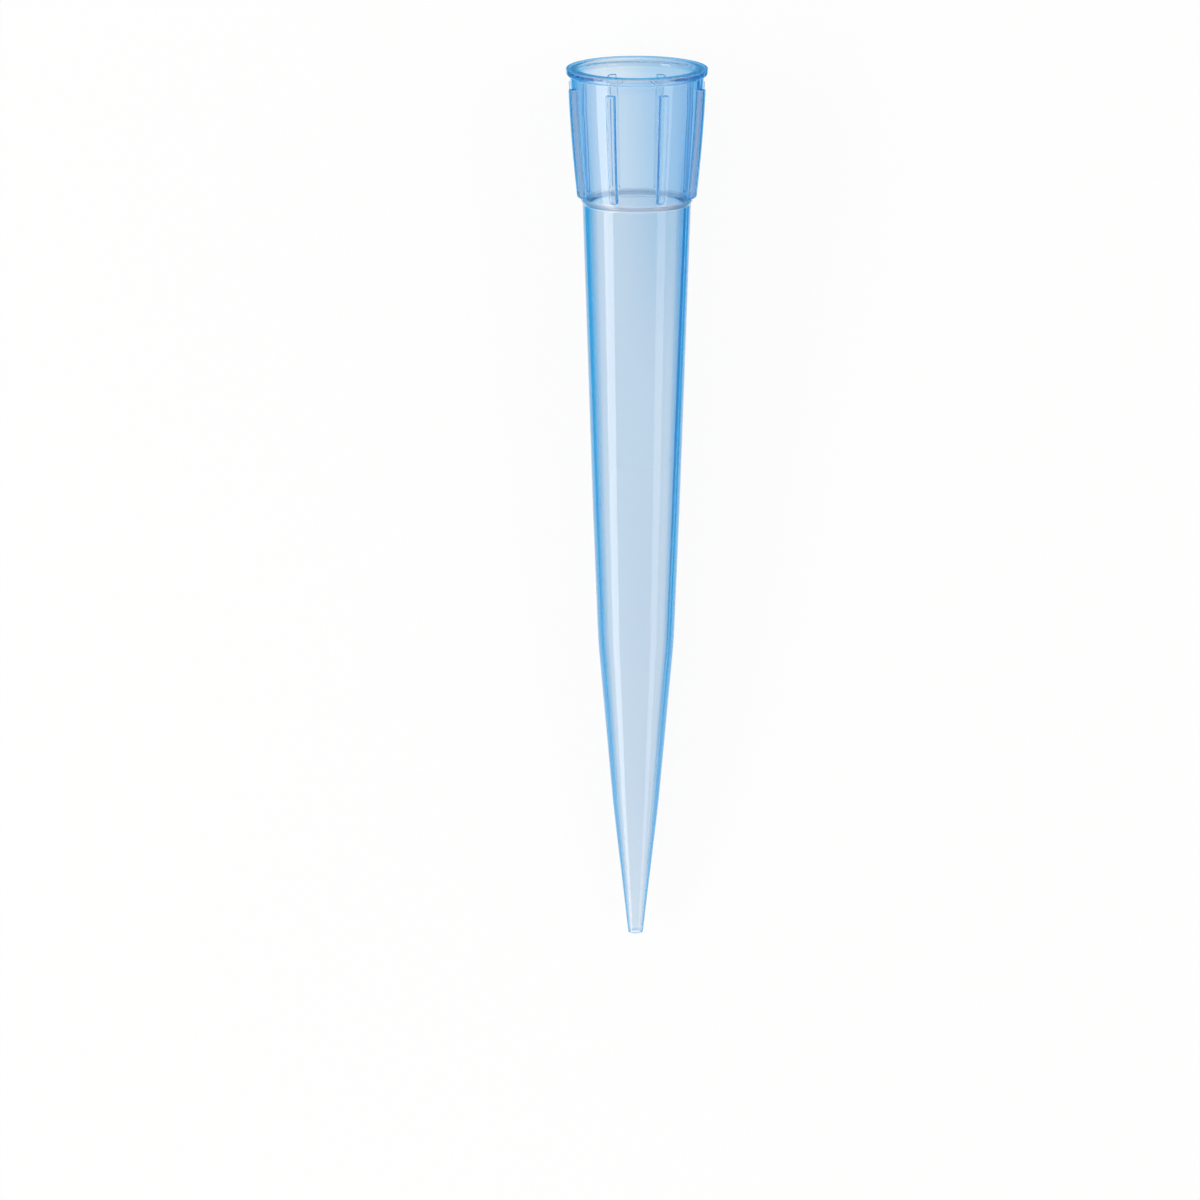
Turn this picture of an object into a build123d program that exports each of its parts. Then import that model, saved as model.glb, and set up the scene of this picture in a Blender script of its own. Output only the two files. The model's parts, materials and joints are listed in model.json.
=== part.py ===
from build123d import *
from math import atan2, cos, degrees, sin, tan
import os

# A pipette tip for volumes up to about one millilitre, moulded in one piece of clear
# polypropylene. It lies at rest on a level surface, as it does on a bench: the flange
# round its mouth and the ring where the body turns into the cone touch the surface, and
# the gap between two ribs faces down. Sizes are in millimetres. A depth is measured
# along the tip's own axis, from the face of the mouth towards the point.

# Socket: the mouth that a pipette's nozzle is pushed into
seal_radius = 4.05  # cylindrical land that grips the nozzle
seal_length = 2.60
lead_in_width = 0.26  # how much wider the mouth is than the land
lead_in_depth = 0.45
socket_foot_radius = 3.70
socket_depth = 9.45  # mouth face to the shoulder that ends the socket
shoulder_depth = 0.25  # length of that sloping shoulder along the axis

# Collar: the thick wall round the socket, with its flange
collar_top_wall = 0.75
collar_foot_wall = 0.40
collar_bow = 0.09  # how far its side swells past a straight taper
collar_foot_height = 0.50  # the rounded foot that runs in to the body
flange_overhang = 0.30
flange_height = 0.53
flange_face_round = 0.06
flange_back_round = 0.20

# Ribs: the grips down the outside of the collar
rib_count = 8
rib_start = 1.25  # mouth face to the ribs' square upper ends
rib_length = 7.95
rib_height = 0.43
rib_top_width = 0.58
rib_foot_width = 0.46
rib_crest_round = 0.20  # the crest's round run-out at the foot
rib_root = 0.15  # how far a rib's root is sunk into the wall

# Body, cone and point: each length runs from the ring above, each radius is outside
collar_length = 9.80
step = 0.20  # how far the body stands in from the collar's foot
body_top_wall = 0.58
upper_body_length = 23.20
knee_radius = 3.145
knee_wall = 0.545
lower_body_length = 9.60
cone_radius = 2.77
cone_wall = 0.48
cone_length = 12.40
point_radius = 1.67
point_wall = 0.41
point_length = 9.90
orifice_radius = 0.385
orifice_wall = 0.155
orifice_round = 0.05

# Radii and depths that follow
collar_top_radius = seal_radius + collar_top_wall
collar_foot_radius = socket_foot_radius + collar_foot_wall
flange_radius = collar_top_radius + flange_overhang
collar_foot_depth = collar_length - collar_foot_height
body_top_radius = collar_foot_radius - step
knee_depth = collar_length + upper_body_length
cone_depth = knee_depth + lower_body_length
point_depth = cone_depth + cone_length
tip_length = point_depth + point_length
end_radius = orifice_radius + orifice_wall
back_round = min(flange_back_round, 0.65 * flange_overhang, 0.8 * flange_height)


def collar_radius(depth):
    """Outside radius of the collar at a depth: a taper with a slight swell."""
    share = (depth - flange_height) / (collar_foot_depth - flange_height)
    taper = collar_top_radius + share * (collar_foot_radius - collar_top_radius)
    return taper + 4 * collar_bow * share * (1 - share)


def collar_side(start_depth, end_depth, offset=0.0):
    """The arc along the collar's side between two depths, moved out by an offset."""
    depths = (start_depth, (start_depth + end_depth) / 2, end_depth)
    return ThreePointArc(*((collar_radius(depth) + offset, -depth) for depth in depths))


def round_corner(sketch, corner, radius):
    """Round the corner of a sketch that lies nearest to a point."""
    fillet(sketch.vertices().sort_by_distance(corner)[0], radius)


def resting_tilt():
    """Slope of the axis when the flange's side and one of the rings below lie level."""
    rings = (
        (knee_depth, knee_radius),
        (cone_depth, cone_radius),
        (point_depth, point_radius),
        (tip_length, end_radius),
    )
    return min(atan2(flange_radius - radius, depth) for depth, radius in rings)


# Where the tip lies: the origin is on the surface, under the middle of its length
tilt = resting_tilt()
along, up = cos(tilt), sin(tilt)
mouth_height = flange_radius * along
reach_ahead = flange_radius * up
reach_behind = tip_length * along + end_radius * up
mouth_centre = Vector(0, (reach_behind - reach_ahead) / 2, mouth_height)
out_of_mouth = Vector(0, along, up)
tip_axis = Axis(mouth_centre, out_of_mouth)
lying = Plane(mouth_centre, x_dir=(1, 0, 0), z_dir=out_of_mouth)
section = Plane(mouth_centre, x_dir=(1, 0, 0), z_dir=(0, -up, along))

# The flange's side is drafted to that same slope, so it lies flush on the surface
flange_back_radius = flange_radius - flange_height * tan(tilt)

# One rib, standing upright on the X side: a strip with a round foot, seen from outside,
# trimmed to a crest that keeps its height above the collar's tapering side
rib_end = rib_start + rib_length
foot_half = rib_foot_width / 2
top_half = rib_top_width / 2
with BuildPart() as rib:
    with BuildSketch(Plane.YZ):
        with BuildLine():
            upper = Polyline(
                (-foot_half, foot_half - rib_end),
                (-top_half, -rib_start),
                (top_half, -rib_start),
                (foot_half, foot_half - rib_end),
            )
            ThreePointArc(upper @ 1, (0, -rib_end), upper @ 0)
        make_face()
    extrude(amount=flange_radius + rib_height)
    with BuildSketch(Plane.XZ) as crest:
        with BuildLine():
            outer = collar_side(rib_start, rib_end, rib_height)
            inner = collar_side(rib_start, rib_end, -rib_root)
            Line(outer @ 0, inner @ 0)
            Line(outer @ 1, inner @ 1)
        make_face()
        round_corner(crest, outer @ 1, rib_crest_round)
    extrude(amount=rib_top_width, both=True, mode=Mode.INTERSECT)

# The tip: its wall turned round the axis, then the ribs set round the collar
with BuildPart(lying) as pipette_tip:
    with BuildSketch(section) as wall:
        with BuildLine():
            flange = Polyline(
                (seal_radius + lead_in_width, 0),
                (flange_radius, 0),
                (flange_back_radius, -flange_height),
                (collar_top_radius, -flange_height),
            )
            side = collar_side(flange_height, collar_foot_depth)
            foot = TangentArc(
                side @ 1, (body_top_radius, -collar_length), tangent=side % 1
            )
            outside = Polyline(
                foot @ 1,
                (knee_radius, -knee_depth),
                (cone_radius, -cone_depth),
                (point_radius, -point_depth),
                (end_radius, -tip_length),
                (orifice_radius, -tip_length),
            )
            inside = Polyline(
                outside @ 1,
                (point_radius - point_wall, -point_depth),
                (cone_radius - cone_wall, -cone_depth),
                (knee_radius - knee_wall, -knee_depth),
                (body_top_radius - body_top_wall, -socket_depth - shoulder_depth),
                (socket_foot_radius, -socket_depth),
                (seal_radius, -lead_in_depth - seal_length),
                (seal_radius, -lead_in_depth),
                flange @ 0,
            )
        make_face()
        round_corner(wall, (flange_radius, 0), flange_face_round)
        round_corner(wall, (flange_back_radius, -flange_height), back_round)
        round_corner(wall, (end_radius, -tip_length), orifice_round)
    revolve(axis=tip_axis)
    with PolarLocations(0, rib_count, start_angle=180 / rib_count):
        add(rib.part)

pipette_tip.part.label = "pipette_tip"
os.makedirs("parts", exist_ok=True)
export_step(pipette_tip.part, "parts/pipette_tip.step")
print(f"length {tip_length:.2f}, flange {2 * flange_radius:.2f} across, lying {degrees(tilt):.2f} deg")
print(f"plastic {pipette_tip.part.volume:.0f} cubic mm")
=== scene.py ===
"""A clear blue pipette tip: its smooth moulded wall, its plastic, and the studio round it."""

import json
import logging
from dataclasses import dataclass, field
from enum import Enum
from functools import partial, reduce
from math import acos, atan2, ceil, cos, pi, radians, sin, sqrt, tan
from typing import Union

import bpy
from mathutils import Matrix, Vector

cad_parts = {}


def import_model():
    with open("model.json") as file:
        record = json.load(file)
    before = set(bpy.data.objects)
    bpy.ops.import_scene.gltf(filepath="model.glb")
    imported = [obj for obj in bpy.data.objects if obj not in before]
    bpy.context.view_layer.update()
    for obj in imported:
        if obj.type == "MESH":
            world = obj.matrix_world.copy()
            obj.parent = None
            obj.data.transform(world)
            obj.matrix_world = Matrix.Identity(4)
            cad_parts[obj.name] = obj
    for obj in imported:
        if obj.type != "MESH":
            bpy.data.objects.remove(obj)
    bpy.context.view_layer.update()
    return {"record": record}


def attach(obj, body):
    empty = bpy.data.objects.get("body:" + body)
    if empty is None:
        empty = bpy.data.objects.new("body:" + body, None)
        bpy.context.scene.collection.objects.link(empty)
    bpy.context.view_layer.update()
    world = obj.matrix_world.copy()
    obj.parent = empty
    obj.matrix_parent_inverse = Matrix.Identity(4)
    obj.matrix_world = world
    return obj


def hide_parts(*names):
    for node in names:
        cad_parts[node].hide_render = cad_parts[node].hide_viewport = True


LOG = logging.getLogger("pipette_tip")
MM = 0.001
Output = bpy.types.NodeSocket
Feed = Union[Output, float, int, str, tuple, bpy.types.Material]


class Sum(Enum):
    """The sums that a Math node does here."""

    ADD = "ADD"
    TAKE = "SUBTRACT"
    TIMES = "MULTIPLY"
    OVER = "DIVIDE"
    REMAINDER = "MODULO"
    FLOOR = "FLOOR"
    NEAREST = "ROUND"
    SIZE = "ABSOLUTE"
    SIGN = "SIGN"
    LEAST = "MINIMUM"
    MOST = "MAXIMUM"
    SINE = "SINE"
    COSINE = "COSINE"
    POWER = "POWER"


class Side(Enum):
    """The side of the tip that a lamp stands on."""

    LEFT = -1.0
    RIGHT = 1.0


class Graph:
    """A node tree that is being wired."""

    def __init__(self, tree: bpy.types.NodeTree) -> None:
        """Take the tree to wire."""
        self.tree = tree

    def add(self, kind: str, feeds: Union[dict, None] = None, **settings: object) -> bpy.types.Node:
        """Add a node to the tree.

        Args:
            kind: The node's type.
            feeds: What goes into its inputs, by the input's name or number.
            settings: The node's own settings.

        Returns:
            The new node.
        """
        node = self.tree.nodes.new(kind)
        for name, value in settings.items():
            setattr(node, name, value)
        for name, value in (feeds or {}).items():
            self.feed(node.inputs[name], value)
        return node

    def stored(self, name: str) -> Output:
        """Read a number that the piece's points carry."""
        return self.add("ShaderNodeAttribute", attribute_name=name).outputs["Fac"]

    def feed(self, socket: Output, value: Feed) -> None:
        """Link a socket to an input, or set a plain value on it.

        Args:
            socket: The input.
            value: Another node's output, or a plain value.
        """
        if isinstance(value, Output):
            self.tree.links.new(value, socket)
        else:
            socket.default_value = value

    def sum(self, what: Sum, *terms: Feed, clamp: bool = False) -> Output:
        """Do one sum.

        Args:
            what: The kind of sum.
            terms: One or two numbers or outputs.
            clamp: Whether the result is kept between 0 and 1.

        Returns:
            The result's output.
        """
        node = self.add("ShaderNodeMath", dict(enumerate(terms)), operation=what.value)
        node.use_clamp = clamp
        return node.outputs[0]

    def total(self, *terms: Feed) -> Output:
        """Add two or more numbers or outputs together."""
        return reduce(partial(self.sum, Sum.ADD), terms)

    def times(self, *terms: Feed) -> Output:
        """Multiply two or more numbers or outputs together."""
        return reduce(partial(self.sum, Sum.TIMES), terms)


def blank(owner: Union[bpy.types.Material, bpy.types.World]) -> Graph:
    """Clear the node tree of a material or a world.

    Args:
        owner: The material or the world.

    Returns:
        Its empty tree, ready to be wired.
    """
    owner.use_nodes = True
    owner.node_tree.nodes.clear()
    return Graph(owner.node_tree)


def placed(name: str, data: bpy.types.ID) -> bpy.types.Object:
    """Put an object in the scene.

    Args:
        name: The object's name.
        data: Its mesh, lamp or camera.

    Returns:
        The object, at the origin.
    """
    thing = bpy.data.objects.new(name, data)
    bpy.context.scene.collection.objects.link(thing)
    return thing


def clamped(share: float) -> float:
    """Keep a share between 0 and 1."""
    return min(max(share, 0.0), 1.0)


@dataclass(frozen=True)
class Corner:
    """A corner of the wall's outline, or a plain point on it where it isn't eased."""

    radius: float
    depth: float
    half: float
    ease: float = 0.0
    steps: int = 0
    rise: float = 0.0

    def place(self) -> Vector:
        """The corner as radius, depth, the rib's half width and the rib's rise."""
        return Vector((self.radius, self.depth, self.half, self.rise))


@dataclass(frozen=True)
class ClearPlastic:
    """Clear blue polypropylene, a little uneven as moulding leaves it."""

    name: str = "clear blue polypropylene"
    slot: str = "clear_blue_polypropylene"
    face_tint: tuple = (0.848, 0.905, 0.968, 1.0)
    edge_tint: tuple = (0.05, 0.46, 0.86, 1.0)
    depth_tint: tuple = (0.28, 0.69, 0.90, 1.0)
    density: float = 240.0
    roughness: float = 0.028
    roughness_spread: float = 0.4
    refraction: float = 1.49
    flow_stretch: float = 9.0
    flow_scale: float = 420.0
    cloud_scale: float = 160.0
    unevenness: float = 0.05
    ripple: float = 0.02 * MM
    ripple_strength: float = 0.25
    flank_fade: float = 1.7
    edge_start: float = 0.25
    edge_start_thick: float = 0.25
    edge_full: float = 0.60
    edge_full_thick: float = 0.15

    def material(self, along: Vector, tilt: float) -> bpy.types.Material:
        """Make the plastic's material.

        Args:
            along: A point on the tip's axis, which the flow pattern is centred on.
            tilt: How far the axis rises from level, in radians.

        Returns:
            The material.
        """
        material = bpy.data.materials.new(self.name)
        graph = blank(material)
        where = graph.add("ShaderNodeTexCoord").outputs["Object"]
        flow = graph.add(
            "ShaderNodeMapping",
            {
                "Vector": where,
                "Location": tuple(along),
                "Rotation": (tilt, 0.0, 0.0),
                "Scale": (1.0, self.flow_stretch, 1.0),
            },
            vector_type="TEXTURE",
        ).outputs[0]
        streaks = graph.add(
            "ShaderNodeTexNoise",
            {"Vector": flow, "Scale": self.flow_scale, "Detail": 3.0, "Roughness": 0.55},
        ).outputs["Fac"]
        cloud = graph.add(
            "ShaderNodeTexNoise",
            {"Vector": where, "Scale": self.cloud_scale, "Detail": 2.0, "Roughness": 0.5},
        ).outputs["Fac"]
        bump = graph.add(
            "ShaderNodeBump",
            {"Height": streaks, "Strength": self.ripple_strength, "Distance": self.ripple},
        ).outputs["Normal"]
        gloss = graph.add(
            "ShaderNodeMapRange",
            {
                "Value": cloud,
                "To Min": (1.0 - self.roughness_spread) * self.roughness,
                "To Max": (1.0 + self.roughness_spread) * self.roughness,
            },
        ).outputs["Result"]
        slant = self.slant(graph)
        shader = graph.add(
            "ShaderNodeBsdfPrincipled",
            {
                "Base Color": self.tint(graph, slant, streaks, cloud),
                "Roughness": gloss,
                "Transmission Weight": graph.sum(Sum.TAKE, 1.0, self.milkiness(graph, slant)),
                "IOR": self.refraction,
                "Normal": bump,
            },
        )
        inside = graph.add(
            "ShaderNodeVolumeAbsorption", {"Color": self.depth_tint, "Density": self.density}
        )
        out = graph.add("ShaderNodeOutputMaterial")
        graph.feed(out.inputs["Surface"], shader.outputs[0])
        graph.feed(out.inputs["Volume"], inside.outputs[0])
        return material

    def milkiness(self, graph: Graph, slant: Output) -> Output:
        """Wire how much light the skin scatters; a rib's flank does so when seen squarely.

        Args:
            graph: The tree to wire.
            slant: How slanted the light's way through the skin is.

        Returns:
            An output that is 0 where the plastic is clear.
        """
        fading = graph.times(slant, self.flank_fade)
        square = graph.sum(Sum.TAKE, 1.0, fading, clamp=True)
        flank = graph.times(graph.stored("flank"), square)
        return graph.total(graph.stored("haze"), flank)

    def tint(self, graph: Graph, slant: Output, streaks: Output, cloud: Output) -> Output:
        """Wire the skin's colour, which deepens where the light's way through it is long.

        Args:
            graph: The tree to wire.
            slant: How slanted the light's way through the skin is.
            streaks: The streaks that the plastic's flow has left.
            cloud: The slow unevenness of the whole piece.

        Returns:
            The colour's output.
        """
        thick = graph.stored("thick")
        sooner = graph.times(thick, self.edge_start_thick)
        later = graph.times(thick, self.edge_full_thick)
        edge = graph.add(
            "ShaderNodeMapRange",
            {
                "Value": slant,
                "From Min": graph.sum(Sum.TAKE, self.edge_start, sooner),
                "From Max": graph.total(self.edge_full, later),
                "To Max": graph.stored("skin"),
            },
            interpolation_type="SMOOTHSTEP",
        ).outputs["Result"]
        edge = graph.sum(Sum.MOST, edge, graph.stored("deep"))
        tint = graph.add(
            "ShaderNodeMix", {0: edge, 6: self.face_tint, 7: self.edge_tint}, data_type="RGBA"
        )
        strength = graph.total(
            graph.times(streaks, self.unevenness),
            graph.times(cloud, self.unevenness),
            1.0 - self.unevenness,
        )
        varied = graph.add(
            "ShaderNodeHueSaturation", {"Color": tint.outputs[2], "Saturation": strength}
        )
        return varied.outputs["Color"]

    def slant(self, graph: Graph) -> Output:
        """Wire how slanted the light's way through the skin is, as it lies outside the plastic.

        Args:
            graph: The tree to wire.

        Returns:
            An output that is 0 for a way square to the skin and 1 for one along it.
        """
        facing = graph.add("ShaderNodeLayerWeight", {"Blend": 0.5}).outputs["Facing"]
        inside = graph.add("ShaderNodeNewGeometry").outputs["Backfacing"]
        square = graph.sum(Sum.POWER, graph.sum(Sum.TAKE, 1.0, facing), 2.0)
        bend = graph.times(inside, self.refraction**2 - 1.0)
        across = graph.times(graph.sum(Sum.TAKE, 1.0, square), graph.total(1.0, bend))
        along = graph.sum(Sum.POWER, graph.sum(Sum.TAKE, 1.0, across, clamp=True), 0.5)
        return graph.sum(Sum.TAKE, 1.0, along)


@dataclass(frozen=True)
class PaleFloor:
    """A plain pale bench that stays white and keeps a soft shadow."""

    name: str = "pale bench"
    colour: tuple = (0.93, 0.94, 0.95, 1.0)
    mottle_scale: float = 25.0
    glow: float = 0.92

    def material(self) -> bpy.types.Material:
        """Make the bench's material.

        Returns:
            The material, white to a ray that looks and matt to others.
        """
        material = bpy.data.materials.new(self.name)
        graph = blank(material)
        where = graph.add("ShaderNodeTexCoord").outputs["Object"]
        mottle = graph.add(
            "ShaderNodeTexNoise", {"Vector": where, "Scale": self.mottle_scale, "Detail": 4.0}
        ).outputs["Fac"]
        matt = graph.add("ShaderNodeBsdfDiffuse", {"Color": self.colour, "Roughness": mottle})
        light = graph.add("ShaderNodeEmission", {"Color": (1.0, 1.0, 1.0, 1.0), "Strength": 1.0})
        share = graph.times(Studio.seen(graph), self.glow)
        mix = graph.add("ShaderNodeMixShader", {0: share, 1: matt.outputs[0], 2: light.outputs[0]})
        graph.feed(graph.add("ShaderNodeOutputMaterial").inputs["Surface"], mix.outputs[0])
        return material


@dataclass
class Ribs:
    """The grips down the collar, which narrow towards a round foot."""

    count: int = 8
    start: float = 1.25 * MM
    length: float = 7.95 * MM
    height: float = 0.43 * MM
    top_half: float = 0.29 * MM
    foot_half: float = 0.23 * MM
    run_out: float = 0.20 * MM
    edge_round: float = 0.07 * MM
    root_round: float = 0.06 * MM
    draft: float = 0.02 * MM
    least_half: float = 0.03 * MM
    haze: float = 0.30
    first_ring: float = 0.25 * MM
    last_ring: float = 0.05 * MM
    round_rings: int = 4
    crest_rings: int = 15
    foot_rings: int = 8
    crest_columns: int = 2
    round_columns: int = 3
    flank_columns: int = 1

    @property
    def end(self) -> float:
        """Depth of the ribs' lower ends."""
        return self.start + self.length

    @property
    def flank_column(self) -> int:
        """The column where the flank starts, counted from the middle of the crest."""
        return self.crest_columns + self.round_columns

    @property
    def fillet_column(self) -> int:
        """The column where the round at the rib's root starts."""
        return self.flank_column + self.flank_columns

    @property
    def columns(self) -> int:
        """The columns over half a rib, from the middle of its crest to its root."""
        return self.fillet_column + self.round_columns

    def half(self, depth: float) -> float:
        """Half of a rib's width.

        Args:
            depth: The depth below the mouth.

        Returns:
            Half the width there, which narrows towards the foot.
        """
        share = clamped((depth - self.start) / (self.length - self.foot_half))
        return self.top_half + share * (self.foot_half - self.top_half)

    def rings(self) -> list[tuple[float, float, float]]:
        """Where rings cross the ribs, from the square end to the foot.

        Returns:
            Depth, half width and share of the full height, ring by ring.
        """
        rings: list[tuple[float, float, float]] = []
        quarter = [step / self.round_rings * pi / 2 for step in range(self.round_rings + 1)]
        for angle in quarter:
            depth = self.start - self.root_round * (1 - sin(angle))
            rings.append((depth, self.top_half, self.root_round * (1 - cos(angle))))
        for angle in quarter:
            depth = self.start + self.draft + self.edge_round * (1 - cos(angle))
            rise = self.height - self.edge_round * (1 - sin(angle))
            rings.append((depth, self.half(depth), rise))
        centre = self.end - self.foot_half
        first, last = self.start + self.first_ring, centre - self.last_ring
        for step in range(self.crest_rings + 1):
            depth = first + (last - first) * step / self.crest_rings
            rings.append((depth, self.half(depth), self.crest(depth)))
        for step in range(self.foot_rings + 1):
            angle = step / self.foot_rings * pi / 2
            depth = centre + self.foot_half * sin(angle)
            half = max(self.foot_half * cos(angle), self.least_half)
            rings.append((depth, half, self.crest(depth)))
        for angle in quarter:
            depth = self.end + self.draft + self.root_round * (1 - cos(angle))
            rings.append((depth, self.least_half, self.root_round * (1 - sin(angle))))
        return [(depth, half, rise / self.height) for depth, half, rise in rings]

    def crest(self, depth: float) -> float:
        """Height of the crest, which runs out in a quarter round at the foot.

        Args:
            depth: The depth below the mouth.

        Returns:
            How far the crest stands out from the collar's side there.
        """
        past = depth - (self.end - self.run_out)
        if past <= 0:
            return self.height
        return self.height - self.run_out + sqrt(max(self.run_out**2 - past**2, 0.0))


@dataclass
class Collar:
    """The thick wall round the socket, with its flange and ribs."""

    top_radius: float = 4.80 * MM
    foot_radius: float = 4.10 * MM
    foot_depth: float = 9.30 * MM
    length: float = 9.80 * MM
    bow: float = 0.09 * MM
    flange_radius: float = 5.095 * MM
    flange_back_radius: float = 5.068 * MM
    flange_height: float = 0.53 * MM
    face_round: float = 0.08 * MM
    back_round: float = 0.19 * MM
    neck_round: float = 0.07 * MM
    step: float = 0.20 * MM
    face_haze: float = 0.35
    neck_haze: float = 0.25
    neck_deep: float = 0.14
    side_haze: float = 0.01
    foot_haze: float = 0.50
    foot_deep: float = 0.22
    foot_skin: float = 0.80
    face_zone: float = 0.10 * MM
    neck_zone: tuple = (0.36 * MM, 0.62 * MM)
    neck_deep_zone: tuple = (0.66 * MM, 1.0 * MM)
    neck_rings: tuple = (0.68 * MM, 0.95 * MM)
    foot_lead: float = 0.10 * MM
    foot_ramp: float = 0.25 * MM
    foot_margin: float = 0.06 * MM
    foot_rings: int = 8
    step_ease: float = 0.05 * MM
    ribs: Ribs = field(default_factory=Ribs)

    def radius(self, depth: float) -> float:
        """Outside radius of the collar's side.

        Args:
            depth: The depth below the mouth.

        Returns:
            The radius of its taper there, with its swell.
        """
        share = clamped((depth - self.flange_height) / (self.foot_depth - self.flange_height))
        taper = self.top_radius + share * (self.foot_radius - self.top_radius)
        return taper + 4 * self.bow * share * (1 - share)

    def thickness(self, depth: float) -> float:
        """How much of the collar's thick wall there is at a depth, from 1 down to 0."""
        return 1.0 - clamped((depth - self.foot_depth) / (self.length - self.foot_depth))

    def haze(self, depth: float, below: float) -> float:
        """How milky the plastic is at a depth: its small moulded edges are the least clear.

        Args:
            depth: The depth below the mouth.
            below: How milky the long body is.

        Returns:
            The share of light that the skin scatters.
        """
        if depth < self.face_zone:
            return self.face_haze
        if self.neck_zone[0] < depth < self.neck_zone[1]:
            return self.neck_haze
        if depth < self.length + self.foot_margin:
            return self.side_haze + self.in_foot(depth) * (self.foot_haze - self.side_haze)
        return below

    def skin(self, depth: float) -> float:
        """How much deeper the outer skin's tint grows with its slant at a depth."""
        return 1.0 - self.in_foot(depth) * (1.0 - self.foot_skin)

    def deep(self, depth: float) -> float:
        """How deep a tint the skin shows below the flange and in the foot.

        Args:
            depth: The depth below the mouth.

        Returns:
            The share of the edge's tint, whatever the skin's slant.
        """
        if self.neck_deep_zone[0] < depth < self.neck_deep_zone[1]:
            return self.neck_deep
        return self.foot_deep * self.in_foot(depth)

    def in_foot(self, depth: float) -> float:
        """How far a depth is into the rounded foot.

        Args:
            depth: The depth below the mouth.

        Returns:
            A share from 0 above the foot to 1 in it, and 0 below it.
        """
        if depth > self.length + self.foot_margin:
            return 0.0
        return clamped((depth - self.foot_depth + self.foot_lead) / self.foot_ramp)

    def foot(self) -> list[tuple[float, float]]:
        """The rounded foot, from the collar's side to where the body stands in.

        Returns:
            Radius and depth, point by point down the arc.
        """
        slope = (self.foot_radius - self.top_radius - 4 * self.bow) / (
            self.foot_depth - self.flange_height
        )
        lean = atan2(-slope, 1.0)
        run, drop = self.step, self.length - self.foot_depth
        chord = atan2(run, drop)
        turn = 2 * (chord - lean)
        bend = sqrt(run**2 + drop**2) / (2 * sin(chord - lean))
        points = []
        for step in range(1, self.foot_rings):
            angle = turn * step / self.foot_rings
            ahead, aside = bend * sin(angle), bend * (1 - cos(angle))
            radius = self.foot_radius - ahead * sin(lean) - aside * cos(lean)
            depth = self.foot_depth + ahead * cos(lean) - aside * sin(lean)
            points.append((radius, depth))
        return points

    def outline(self) -> list[Corner]:
        """The collar's outside, from the flange's face to the foot.

        Returns:
            The corners and plain points down it.
        """
        ribs = self.ribs
        wide, narrow = ribs.top_half, ribs.foot_half
        corners = [
            Corner(self.flange_radius, 0.0, wide, self.face_round, 5),
            Corner(self.flange_back_radius, self.flange_height, wide, self.back_round, 8),
            Corner(self.top_radius, self.flange_height, wide, self.neck_round, 4),
        ]
        corners += [Corner(self.radius(depth), depth, wide) for depth in self.neck_rings]
        for depth, half, rise in ribs.rings():
            corners.append(Corner(self.radius(depth), depth, half, rise=rise))
        corners += [Corner(radius, depth, narrow) for radius, depth in self.foot()]
        body_radius = self.foot_radius - self.step
        return corners + [Corner(body_radius, self.length, narrow, self.step_ease, 4)]


@dataclass
class Body:
    """The long wall below the collar: body, cone and point, outside and in."""

    knee_depth: float = 33.0 * MM
    cone_depth: float = 42.6 * MM
    point_depth: float = 55.0 * MM
    length: float = 64.9 * MM
    knee_radius: float = 3.145 * MM
    cone_radius: float = 2.77 * MM
    point_radius: float = 1.67 * MM
    end_radius: float = 0.54 * MM
    knee_bore: float = 2.60 * MM
    cone_bore: float = 2.29 * MM
    point_bore: float = 1.26 * MM
    orifice: float = 0.385 * MM
    knee_ease: float = 0.8 * MM
    cone_ease: float = 0.9 * MM
    point_ease: float = 1.2 * MM
    end_round: float = 0.06 * MM
    orifice_ease: float = 0.04 * MM
    last_ring: float = 0.16 * MM
    last_ring_flare: float = 0.018 * MM
    haze: float = 0.07
    rim_length: float = 0.13 * MM
    rim_deep: float = 0.70

    def deep(self, depth: float) -> float:
        """How deep a tint the skin shows at a depth, whatever its slant."""
        return self.rim_deep if depth > self.length - self.rim_length else 0.0

    def outline(self, half: float) -> list[Corner]:
        """The outside below the collar, and the ring round the orifice.

        Args:
            half: The half width that the columns keep below the ribs.

        Returns:
            The corners down to the orifice's edge.
        """
        return [
            Corner(self.knee_radius, self.knee_depth, half, self.knee_ease, 4),
            Corner(self.cone_radius, self.cone_depth, half, self.cone_ease, 8),
            Corner(self.point_radius, self.point_depth, half, self.point_ease, 5),
            Corner(self.end_radius + self.last_ring_flare, self.length - self.last_ring, half),
            Corner(self.end_radius, self.length, half, self.end_round, 5),
            Corner(self.orifice, self.length, half, self.orifice_ease, 4),
        ]

    def bore(self, half: float) -> list[Corner]:
        """The inside, from the orifice back up to the socket's shoulder.

        Args:
            half: The half width that the columns keep below the ribs.

        Returns:
            The corners up to the shoulder.
        """
        return [
            Corner(self.point_bore, self.point_depth, half, self.point_ease, 5),
            Corner(self.cone_bore, self.cone_depth, half, self.cone_ease, 8),
            Corner(self.knee_bore, self.knee_depth, half, self.knee_ease, 4),
        ]


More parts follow.
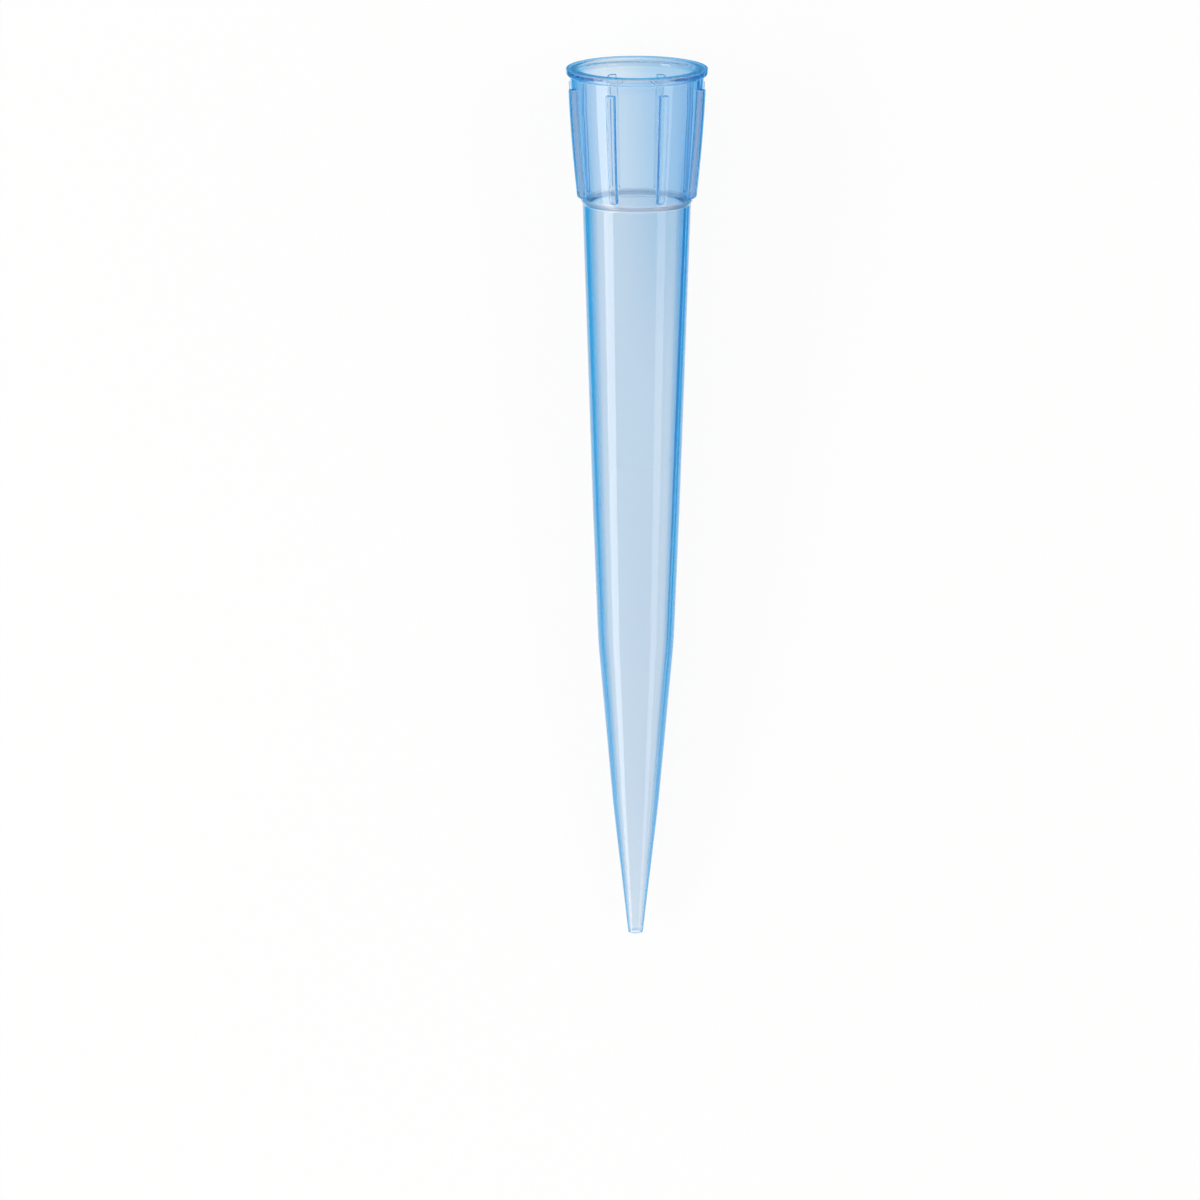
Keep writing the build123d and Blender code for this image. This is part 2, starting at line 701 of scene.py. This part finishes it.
@dataclass
class Socket:
    """The bore that the pipette's nozzle is pushed into."""

    seal_radius: float = 4.05 * MM
    seal_length: float = 2.60 * MM
    lead_in_radius: float = 4.31 * MM
    lead_in_depth: float = 0.45 * MM
    foot_radius: float = 3.70 * MM
    foot_depth: float = 9.45 * MM
    body_bore: float = 3.32 * MM
    body_depth: float = 9.70 * MM
    body_ease: float = 0.10 * MM
    foot_ease: float = 0.08 * MM
    seal_ease: float = 0.40 * MM
    lead_in_ease: float = 0.12 * MM
    mouth_ease: float = 0.06 * MM
    ledge_haze: float = 0.10
    ledge_deep: float = 0.40
    seal_deep: float = 0.30
    ledge_middle: float = 0.12 * MM
    ledge_reach: float = 0.21 * MM
    ledge_line: float = 0.055 * MM
    seal_line: float = 0.13 * MM

    def haze(self, depth: float, above: float, below: float) -> float:
        """How milky the bore is at a depth: its ledge is the least clear.

        Args:
            depth: The depth below the mouth.
            above: How milky the collar's side is.
            below: How milky the long body is.

        Returns:
            The share of light that the bore's skin scatters.
        """
        if self.by_ledge(depth):
            return self.ledge_haze
        return above if depth < self.foot_depth else below

    def by_ledge(self, depth: float) -> bool:
        """Whether a depth lies on the shoulder's small ledge."""
        return abs(depth - self.foot_depth - self.ledge_middle) < self.ledge_reach

    def deep(self, depth: float) -> float:
        """How deep a tint the bore shows at its ledge and at the seal's edge.

        Args:
            depth: The depth below the mouth.

        Returns:
            The share of the edge's tint, whatever the skin's slant.
        """
        if abs(depth - self.foot_depth) < self.ledge_line:
            return self.ledge_deep
        return self.seal_deep if abs(depth - self.lead_in_depth) < self.seal_line else 0.0

    def outline(self, wide: float, narrow: float) -> list[Corner]:
        """The socket's inside, from its shoulder up to the mouth's edge.

        Args:
            wide: The columns' half width at the mouth.
            narrow: The columns' half width at the shoulder.

        Returns:
            The corners up to the mouth's face.
        """
        seal_end = self.lead_in_depth + self.seal_length
        return [
            Corner(self.body_bore, self.body_depth, narrow, self.body_ease, 5),
            Corner(self.foot_radius, self.foot_depth, narrow, self.foot_ease, 5),
            Corner(self.seal_radius, seal_end, wide, self.seal_ease, 3),
            Corner(self.seal_radius, self.lead_in_depth, wide, self.lead_in_ease, 4),
            Corner(self.lead_in_radius, 0.0, wide, self.mouth_ease, 4),
        ]


@dataclass(frozen=True)
class Lie:
    """Where the tip lies: the middle of its mouth, and the way its axis points out of it."""

    mouth: Vector
    out: Vector

    @classmethod
    def read(cls, record: dict) -> "Lie":
        """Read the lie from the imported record.

        Args:
            record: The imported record.

        Returns:
            The lie.
        """
        face = next(mount for mount in record["mounts"] if mount["name"] == "mouth_face")
        spot = Vector(face["pos_m"])
        return cls(Vector((0.0, spot.y, spot.z)), Vector(face["axis"]).normalized())

    @property
    def tilt(self) -> float:
        """How far the axis rises towards the mouth, in radians."""
        return atan2(self.out.z, self.out.y)

    @property
    def upward(self) -> Vector:
        """The way straight out of the tip's upper side."""
        return Vector((0.0, -sin(self.tilt), cos(self.tilt)))

    def middle(self, length: float) -> Vector:
        """The middle of the tip's axis."""
        return self.mouth - self.out * (length / 2)


class RibbedWall:
    """The tree that turns the wall's section round the axis and raises the ribs.

    A flat sheet has one row for each point of the section. In each sector its columns run from
    the middle of a rib's crest over the edge, the flank and the fillet to the plain wall.
    """

    inputs = {
        "Geometry": ("Section",),
        "Int": ("Rings", "Rib Count", "Wall Columns"),
        "Float": ("Rib Height", "Rib Haze", "Edge Round", "Root Round", "Draft"),
        "Vector": ("Mouth",),
        "Rotation": ("Lean",),
        "Material": ("Plastic",),
    }

    def __init__(self, ribs: Ribs, weld: float) -> None:
        """Start the tree with its named inputs, and make the sheet.

        Args:
            ribs: The ribs that it raises.
            weld: The distance within which points are joined.
        """
        self.ribs, self.weld = ribs, weld
        self.tree = bpy.data.node_groups.new("ribbed wall", "GeometryNodeTree")
        face = self.tree.interface
        face.new_socket("Geometry", in_out="OUTPUT", socket_type="NodeSocketGeometry")
        for kind, names in self.inputs.items():
            for name in names:
                face.new_socket(name, in_out="INPUT", socket_type=f"NodeSocket{kind}")
        g = self.graph = Graph(self.tree)
        size = self.size = g.add("NodeGroupInput").outputs
        half_sector = g.total(size["Wall Columns"], ribs.columns)
        sector = g.times(half_sector, 2.0)
        columns = g.times(sector, size["Rib Count"])
        sides = {"Size X": size["Rings"], "Size Y": columns}
        points = {f"Vertices {key[-1]}": g.total(side, 1.0) for key, side in sides.items()}
        self.sheet = g.add("GeometryNodeMeshGrid", sides | points).outputs["Mesh"]
        spot = g.add("ShaderNodeSeparateXYZ", {0: g.add("GeometryNodeInputPosition").outputs[0]})
        self.ring = self.number(spot.outputs[0], size["Rings"])
        column = self.number(spot.outputs[1], columns)
        self.sector = g.sum(Sum.FLOOR, g.sum(Sum.OVER, g.total(column, 0.5), sector))
        in_sector = g.sum(Sum.TAKE, column, g.times(self.sector, sector))
        self.offset = g.sum(Sum.TAKE, in_sector, half_sector)
        self.step = g.sum(Sum.SIZE, self.offset)

    def number(self, place: Feed, count: Feed) -> Output:
        """Number the sheet's points along one side; the last closes on the first.

        Args:
            place: Where a point lies along the side, from its middle.
            count: How many points the side has.

        Returns:
            The output that holds a point's number, from 0.
        """
        g = self.graph
        from_end = g.total(place, g.times(count, 0.5))
        return g.sum(Sum.REMAINDER, g.sum(Sum.NEAREST, from_end), count)

    def held(self, name: str) -> Output:
        """Read one of the section's sizes at this ring.

        Args:
            name: The size's name.

        Returns:
            The output that holds it.
        """
        g = self.graph
        named = g.add("GeometryNodeInputNamedAttribute", {"Name": name}, data_type="FLOAT")
        feeds = {"Geometry": self.size["Section"], "Value": named.outputs[0], "Index": self.ring}
        sample = g.add("GeometryNodeSampleIndex", feeds, data_type="FLOAT", domain="POINT")
        return sample.outputs[0]

    def part(self, first: int, count: Feed) -> Output:
        """How far this column is through one part of the rib's section, 0 to 1."""
        g = self.graph
        return g.sum(Sum.OVER, g.sum(Sum.TAKE, self.step, first), count, clamp=True)

    def profile(self) -> tuple[Output, Output]:
        """Follow the rib's section outwards from the middle of its crest.

        Returns:
            How far to the side this column is, and how far below the crest.
        """
        g, size, ribs = self.graph, self.size, self.ribs
        half, edge, root = self.held("half"), size["Edge Round"], size["Root Round"]
        crest = self.part(0, ribs.crest_columns)
        shoulder = g.times(self.part(ribs.crest_columns, ribs.round_columns), pi / 2)
        flank = self.part(ribs.flank_column, ribs.flank_columns)
        fillet = g.times(self.part(ribs.fillet_column, ribs.round_columns), pi / 2)
        near = g.sum(Sum.LEAST, edge, g.times(half, 0.5))
        across = g.total(
            g.times(g.sum(Sum.TAKE, half, near), crest),
            g.times(near, g.sum(Sum.SINE, shoulder)),
            g.times(size["Draft"], flank),
            g.times(root, g.sum(Sum.TAKE, 1.0, g.sum(Sum.COSINE, fillet))),
        )
        straight = g.sum(Sum.TAKE, g.sum(Sum.TAKE, size["Rib Height"], edge), root)
        fall = g.total(
            g.times(edge, g.sum(Sum.TAKE, 1.0, g.sum(Sum.COSINE, shoulder))),
            g.times(flank, straight),
            g.times(root, g.sum(Sum.SINE, fillet)),
        )
        return across, fall

    def place(self) -> Output:
        """Work out where each point of the sheet goes, round an upright axis.

        Returns:
            The output that holds the place.
        """
        g, size = self.graph, self.size
        across, fall = self.profile()
        stand = g.times(g.sum(Sum.TAKE, size["Rib Height"], fall), self.held("rise"))
        bearing = g.sum(Sum.OVER, across, self.held("turn"))
        pitch = g.sum(Sum.OVER, 2 * pi, size["Rib Count"])
        gap = g.sum(Sum.TAKE, g.times(pitch, 0.5), bearing)
        wall = self.part(self.ribs.columns, size["Wall Columns"])
        bearing = g.total(bearing, g.times(gap, wall))
        angle = g.total(
            g.times(g.total(self.sector, 0.5), pitch),
            g.times(bearing, g.sum(Sum.SIGN, self.offset)),
        )
        radius = g.total(self.held("radius"), stand)
        x = g.times(radius, g.sum(Sum.COSINE, angle))
        y = g.times(radius, g.sum(Sum.SINE, angle))
        z = g.times(self.held("depth"), -1.0)
        return g.add("ShaderNodeCombineXYZ", {0: x, 1: y, 2: z}).outputs[0]

    def marked(self) -> Output:
        """Store on the sheet the numbers that its plastic reads.

        Returns:
            The output that holds the sheet.
        """
        g, ribs = self.graph, self.ribs
        middle = ribs.flank_column + ribs.flank_columns / 2
        off_flank = g.sum(Sum.SIZE, g.sum(Sum.TAKE, self.step, middle))
        on_flank = g.sum(Sum.TAKE, 1.0 + ribs.flank_columns / 2, off_flank, clamp=True)
        marks = {name: self.held(name) for name in ("skin", "thick", "haze", "deep")}
        marks["flank"] = g.times(on_flank, self.held("rise"), self.size["Rib Haze"])
        sheet = self.sheet
        for name, value in marks.items():
            feeds = {"Geometry": sheet, "Name": name, "Value": value}
            sheet = g.add(
                "GeometryNodeStoreNamedAttribute", feeds, data_type="FLOAT", domain="POINT"
            ).outputs[0]
        return sheet

    def build(self) -> bpy.types.NodeTree:
        """Close the sheet into the wall, lay it down and dress it.

        Returns:
            The tree, with the sizes as its named inputs.
        """
        size = self.size
        stages = {
            "SetPosition": {"Position": self.place()},
            "MergeByDistance": {"Distance": self.weld},
            "SetShadeSmooth": {},
            "Transform": {"Translation": size["Mouth"], "Rotation": size["Lean"]},
            "RealizeInstances": {},
            "SetMaterial": {"Material": size["Plastic"]},
        }
        wall = self.marked()
        for kind, feeds in stages.items():
            wall = self.graph.add(f"GeometryNode{kind}", {"Geometry": wall, **feeds}).outputs[0]
        self.graph.feed(self.graph.add("NodeGroupOutput").inputs[0], wall)
        return self.tree


@dataclass
class PipetteTip:
    """The whole tip: one closed wall with its ribs."""

    collar: Collar = field(default_factory=Collar)
    body: Body = field(default_factory=Body)
    socket: Socket = field(default_factory=Socket)
    plastic: ClearPlastic = field(default_factory=ClearPlastic)
    wall_columns: int = 9
    guard: float = 0.04 * MM
    guard_share: float = 0.3
    longest_run: float = 2.5 * MM
    weld: float = 0.0002 * MM

    def outline(self) -> list[Vector]:
        """The closed line round the wall's section.

        Returns:
            Radius, depth, rib half width and rib rise, point by point.
        """
        wide, narrow = self.collar.ribs.top_half, self.collar.ribs.foot_half
        corners = (
            self.collar.outline()
            + self.body.outline(narrow)
            + self.body.bore(narrow)
            + self.socket.outline(wide, narrow)
        )
        points: list[Vector] = []
        for number, corner in enumerate(corners):
            before = corners[number - 1]
            eased = self.eased(before, corner, corners[(number + 1) % len(corners)])
            if points:
                points += self.run(points[-1], eased[0], before.ease > 0, corner.ease > 0)
            points += eased
        points += self.run(points[-1], points[0], corners[-1].ease > 0, corners[0].ease > 0)
        return points

    def eased(self, before: Corner, corner: Corner, after: Corner) -> list[Vector]:
        """The points round one corner.

        Args:
            before: The corner before it.
            corner: The corner itself.
            after: The corner after it.

        Returns:
            The corner alone, or the arc that eases it.
        """
        middle = corner.place()
        if corner.ease <= 0:
            return [middle]
        here = middle.xy
        back = (before.place().xy - here).normalized()
        ahead = (after.place().xy - here).normalized()
        opening = acos(max(-1.0, min(1.0, back.dot(ahead)))) / 2
        centre = here + (back + ahead).normalized() * corner.ease / cos(opening)
        arm, reach = here + back * corner.ease - centre, here + ahead * corner.ease - centre
        turn = atan2(arm.x * reach.y - arm.y * reach.x, arm.dot(reach))
        points = []
        for step in range(corner.steps + 1):
            angle = turn * step / corner.steps
            spot = centre + Matrix.Rotation(angle, 2) @ arm
            points.append(Vector((spot.x, spot.y, corner.half, corner.rise)))
        return points

    def run(self, start: Vector, end: Vector, guard_start: bool, guard_end: bool) -> list[Vector]:
        """The points along a straight run, with one close to each eased corner.

        Args:
            start: Where the run starts.
            end: Where it ends.
            guard_start: Whether an eased corner lies at its start.
            guard_end: Whether an eased corner lies at its end.

        Returns:
            The points between the two.
        """
        length = (end.xy - start.xy).length
        count = ceil(length / self.longest_run)
        shares = [step / count for step in range(1, count)]
        guard = self.guard / length
        if guard < self.guard_share:
            shares = [guard] * guard_start + shares + [1 - guard] * guard_end
        return [start.lerp(end, share) for share in shares]

    def section(self) -> bpy.types.Object:
        """Make the wall's section as points that carry their sizes.

        Returns:
            An object whose points hold the section's sizes.
        """
        collar, body, socket = self.collar, self.body, self.socket
        points = self.outline()
        mesh = bpy.data.meshes.new("pipette_tip_section")
        mesh.from_pydata([(p.x, 0.0, -p.y) for p in points], [], [])
        tip_end = max(p.y for p in points)
        orifice = max(n for n, p in enumerate(points) if p.y >= tip_end)
        outer, inner = points[: orifice + 1], points[orifice + 1 :]
        haze = [collar.haze(p.y, body.haze) for p in outer]
        haze += [socket.haze(p.y, collar.side_haze, body.haze) for p in inner]
        deep = [max(collar.deep(p.y), body.deep(p.y)) for p in outer]
        deep += [socket.deep(p.y) for p in inner]
        sizes = {
            "radius": [p.x for p in points],
            "depth": [p.y for p in points],
            "half": [p.z for p in points],
            "rise": [p.w for p in points],
            "turn": [collar.radius(p.y) for p in points],
            "skin": [collar.skin(p.y) for p in outer] + [0.0] * len(inner),
            "thick": [collar.thickness(p.y) for p in points],
            "haze": haze,
            "deep": deep,
        }
        for name, values in sizes.items():
            mesh.attributes.new(name, "FLOAT", "POINT").data.foreach_set("value", values)
        LOG.info("the wall has %d rings and %d ribs", len(points), collar.ribs.count)
        return placed("pipette_tip_section", mesh)

    def build(self, lie: Lie) -> bpy.types.Object:
        """Build the tip.

        Args:
            lie: Where it lies.

        Returns:
            The piece, at the origin, with its place in its mesh.
        """
        section = self.section()
        ribs = self.collar.ribs
        tree = RibbedWall(ribs, self.weld).build()
        values = {
            "Rings": len(section.data.vertices),
            "Rib Count": ribs.count,
            "Wall Columns": self.wall_columns,
            "Rib Height": ribs.height,
            "Rib Haze": ribs.haze,
            "Edge Round": ribs.edge_round,
            "Root Round": ribs.root_round,
            "Draft": ribs.draft,
            "Mouth": lie.mouth,
            "Lean": (lie.tilt - pi / 2, 0.0, 0.0),
            "Plastic": self.plastic.material(lie.middle(self.body.length), lie.tilt),
        }
        modifier = section.modifiers.new("ribbed wall", "NODES")
        modifier.node_group = tree
        for item in tree.interface.items_tree:
            if item.in_out == "INPUT" and item.name in values:
                modifier[item.identifier] = values[item.name]
        bpy.context.view_layer.update()
        seen = section.evaluated_get(bpy.context.evaluated_depsgraph_get())
        mesh = bpy.data.meshes.new_from_object(seen)
        mesh.name = "pipette_tip_wall"
        section.modifiers.remove(modifier)
        bpy.data.objects.remove(section)
        return placed("moulded_tip", mesh)


@dataclass(frozen=True)
class Card:
    """A glowing card on the bench that the camera doesn't see: painted reflection in the tip's
    gloss, or painted shade seen through its plastic.
    """

    name: str
    across: tuple[float, float]
    along: tuple[float, float]
    # dark blue of the painted reflections in the tip's gloss
    colour: tuple = (0.10, 0.30, 0.45, 1.0)
    lift: float = 0.1 * MM
    glossy: bool = True
    through: bool = False
    fade: Union[tuple, None] = None
    # the white that the painted shade fades from
    faded: tuple = (0.935, 0.945, 0.955, 1.0)

    def shade(self, graph: Graph) -> Feed:
        """Wire the card's colour, which may come in softly from white as a gradient of painted
        shade.

        Args:
            graph: The tree to wire.

        Returns:
            The colour, or its output.
        """
        if not self.fade:
            return self.colour
        where = graph.add("ShaderNodeTexCoord").outputs["Object"]
        spot = graph.add("ShaderNodeSeparateXYZ", {0: where}).outputs
        ramps = [
            graph.add(
                "ShaderNodeMapRange",
                {"Value": spot[axis], "From Min": start, "From Max": end},
                interpolation_type="SMOOTHSTEP",
            ).outputs["Result"]
            for axis, (start, end) in enumerate(self.fade)
        ]
        feeds = {0: graph.times(*ramps), 6: self.faded, 7: self.colour}
        return graph.add("ShaderNodeMix", feeds, data_type="RGBA").outputs[2]


@dataclass(frozen=True)
class Strip:
    """A long soft lamp beside the tip; its angles are in degrees, as seen from the tip."""

    side: Side
    angle: float
    width: float
    radiance: float
    colour: tuple = (1.0, 0.92, 0.86)


@dataclass
class Studio:
    """The pale bench, the soft lamps, the glowing cards of painted reflection and painted shade,
    and the camera.
    """

    lie: Lie
    distance: float = 420.0 * MM
    height: float = 72.5 * MM
    slope: float = 14.92
    aside: float = -2.645 * MM
    lens: float = 178.05
    sensor: float = 36.0
    nearest: float = 10.0 * MM
    farthest: float = 20000.0 * MM
    fill: float = 0.60
    strips: tuple = (Strip(Side.LEFT, 64.0, 23.0, 3.9), Strip(Side.RIGHT, 54.5, 20.0, 1.9))
    strip_reach: float = 300.0 * MM
    strip_length: float = 700.0 * MM
    strip_depth: float = 110.0 * MM
    bench_reach: float = 2000.0 * MM
    bounces: int = 40
    glossy_bounces: int = 32
    floor: PaleFloor = field(default_factory=PaleFloor)

    @staticmethod
    def seen(graph: Graph) -> Output:
        """Wire whether a ray is one that looks, comes off gloss or comes through plastic.

        Args:
            graph: The tree to wire.

        Returns:
            An output that is 1 for such a ray and 0 for others.
        """
        path = graph.add("ShaderNodeLightPath").outputs
        either = graph.sum(Sum.MOST, path["Is Camera Ray"], path["Is Glossy Ray"])
        return graph.sum(Sum.MOST, either, path["Is Transmission Ray"])

    def bench(self) -> bpy.types.Object:
        """Make the bench that the tip lies on."""
        reach = (-self.bench_reach, self.bench_reach)
        return self.flat("bench", reach, reach, 0.0, self.floor.material())

    @staticmethod
    def flat(
        name: str, across: tuple, along: tuple, lift: float, material: bpy.types.Material
    ) -> bpy.types.Object:
        """Lay down one level rectangle.

        Args:
            name: The object's name.
            across: Its least and greatest X.
            along: Its least and greatest Y.
            lift: Its height.
            material: Its finish.

        Returns:
            The object.
        """
        (left, right), (near, far) = across, along
        corners = (left, near), (right, near), (right, far), (left, far)
        mesh = bpy.data.meshes.new(name)
        mesh.from_pydata([(x, y, lift) for x, y in corners], [], [(0, 1, 2, 3)])
        mesh.materials.append(material)
        return placed(name, mesh)

    def card(self, card: Card) -> bpy.types.Object:
        """Lay a glowing card by the tip that the camera doesn't see: it shows only as painted
        reflection in the tip's gloss or painted shade through its plastic.

        Args:
            card: The card's size, place and colour.

        Returns:
            The card.
        """
        material = bpy.data.materials.new(card.name)
        graph = blank(material)
        light = graph.add("ShaderNodeEmission", {"Color": card.shade(graph)})
        graph.feed(graph.add("ShaderNodeOutputMaterial").inputs["Surface"], light.outputs[0])
        laid = self.flat(card.name, card.across, card.along, card.lift, material)
        # hidden from camera, lamps and shadows, so it is only painted reflection and painted shade
        # in the tip
        laid.visible_camera = laid.visible_diffuse = laid.visible_shadow = False
        laid.visible_glossy, laid.visible_transmission = card.glossy, card.through
        return laid

    def cards(self) -> tuple[Card, ...]:
        """The glowing cards: one at each side and one past the mouth, which paint reflections, and
        one by the right edge and one under the collar, which paint shade seen through the plastic.

        Returns:
            The cards.
        """
        beside = (-120.0 * MM, 60.0 * MM)
        mouth = self.lie.mouth.y
        ahead = (mouth + 0.29 * MM, mouth + 10.0 * MM)
        edge_shade_blue, mouth_reflection_blue = (0.04, 0.42, 0.75, 1.0), (0.14, 0.52, 0.88, 1.0)
        return (
            # painted reflections: dark blue glowing cards at each side, seen only in the tip's
            # gloss, darkening its side reflections
            Card("left painted reflection", (-60.0 * MM, -7.5 * MM), beside),
            Card("right painted reflection", (10.0 * MM, 60.0 * MM), beside),
            # painted shade and painted reflection: a glowing blue strip that darkens the tip's
            # right edge, seen through the plastic and in its gloss
            Card("right edge painted shade", (7.0 * MM, 9.0 * MM), beside, edge_shade_blue, through=True),
            # painted reflection: a glowing blue card past the mouth that colours the flange's face
            # and the mouth in the tip's gloss
            Card("mouth painted reflection", (-8.0 * MM, 8.0 * MM), ahead, mouth_reflection_blue),
            # painted shade: a glowing card seen only through the plastic, fading from white to blue
            # so the collar's right half and upper body look darker
            Card(
                "shade card",
                (-2.4 * MM, 6.9 * MM),
                (mouth - 30.0 * MM, mouth + 0.28 * MM),
                (0.56, 0.76, 0.90, 1.0),
                lift=0.002 * MM,
                glossy=False,
                through=True,
                fade=((-2.1 * MM, 2.2 * MM), (mouth - 26.0 * MM, mouth - 7.0 * MM)),
            ),
        )

    def sky(self) -> None:
        """Light the room evenly, and show it white."""
        world = bpy.data.worlds.new("white room")
        graph = blank(world)
        seen = self.seen(graph)
        strength = graph.total(self.fill, graph.times(seen, 1.0 - self.fill))
        room = graph.add("ShaderNodeBackground", {"Color": (1, 1, 1, 1), "Strength": strength})
        graph.feed(graph.add("ShaderNodeOutputWorld").inputs["Surface"], room.outputs[0])
        bpy.context.scene.world = world

    def hang(self, strip: Strip) -> None:
        """Hang a long soft lamp beside the tip.

        Args:
            strip: The lamp; a radiance of 1 is white.
        """
        way = self.lie.upward * cos(radians(strip.angle))
        way.x = strip.side.value * sin(radians(strip.angle))
        across = 2 * self.strip_reach * tan(radians(strip.width / 2))
        lamp = bpy.data.lights.new(f"{strip.side.name.lower()} strip lamp", "AREA")
        lamp.shape = "RECTANGLE"
        lamp.size, lamp.size_y = across, self.strip_length
        lamp.energy = strip.radiance * pi * across * self.strip_length
        lamp.color = strip.colour
        hung = placed(lamp.name, lamp)
        centre = self.lie.mouth - self.lie.out * self.strip_depth
        back, length = way.normalized(), self.lie.out
        turn = Matrix((length.cross(back), length, back)).transposed()
        hung.matrix_world = Matrix.Translation(centre + back * self.strip_reach) @ turn.to_4x4()
        hung.visible_transmission = False

    def paths(self) -> None:
        """Let light go through and round inside the clear wall as often as it needs."""
        cycles = bpy.context.scene.cycles
        cycles.max_bounces = cycles.transmission_bounces = self.bounces
        cycles.glossy_bounces = self.glossy_bounces

    def camera(self) -> None:
        """Set up the camera that looks down along the tip."""
        out, upward = self.lie.out, self.lie.upward
        slope = radians(self.slope)
        back = upward * cos(slope) + out * sin(slope)
        top = out * cos(slope) - upward * sin(slope)
        data = bpy.data.cameras.new("camera")
        data.sensor_width, data.lens = self.sensor, self.lens
        data.clip_start, data.clip_end = self.nearest, self.farthest
        eye = placed("camera", data)
        spot = self.lie.mouth + upward * self.distance + out * self.height
        spot.x += self.aside
        turn = Matrix((Vector((1, 0, 0)), top, back)).transposed()
        eye.matrix_world = Matrix.Translation(spot) @ turn.to_4x4()
        bpy.context.scene.camera = eye

    def build(self) -> list[bpy.types.Object]:
        """Set the whole studio up.

        Returns:
            The bench and the cards.
        """
        self.sky()
        self.paths()
        for strip in self.strips:
            self.hang(strip)
        self.camera()
        return [self.bench()] + [self.card(card) for card in self.cards()]


def main() -> None:
    """Build the tip and its studio."""
    logging.basicConfig(level=logging.INFO, format="%(name)s: %(message)s")
    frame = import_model()
    bpy.context.scene.view_settings.view_transform = "Standard"
    lie = Lie.read(frame["record"])
    tip = PipetteTip()
    piece = tip.build(lie)
    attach(piece, "root")
    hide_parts("pipette_tip")
    LOG.info("%s: %d faces", piece.name, len(piece.data.polygons))
    for thing in Studio(lie).build():
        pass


if __name__ == "__main__":
    main()
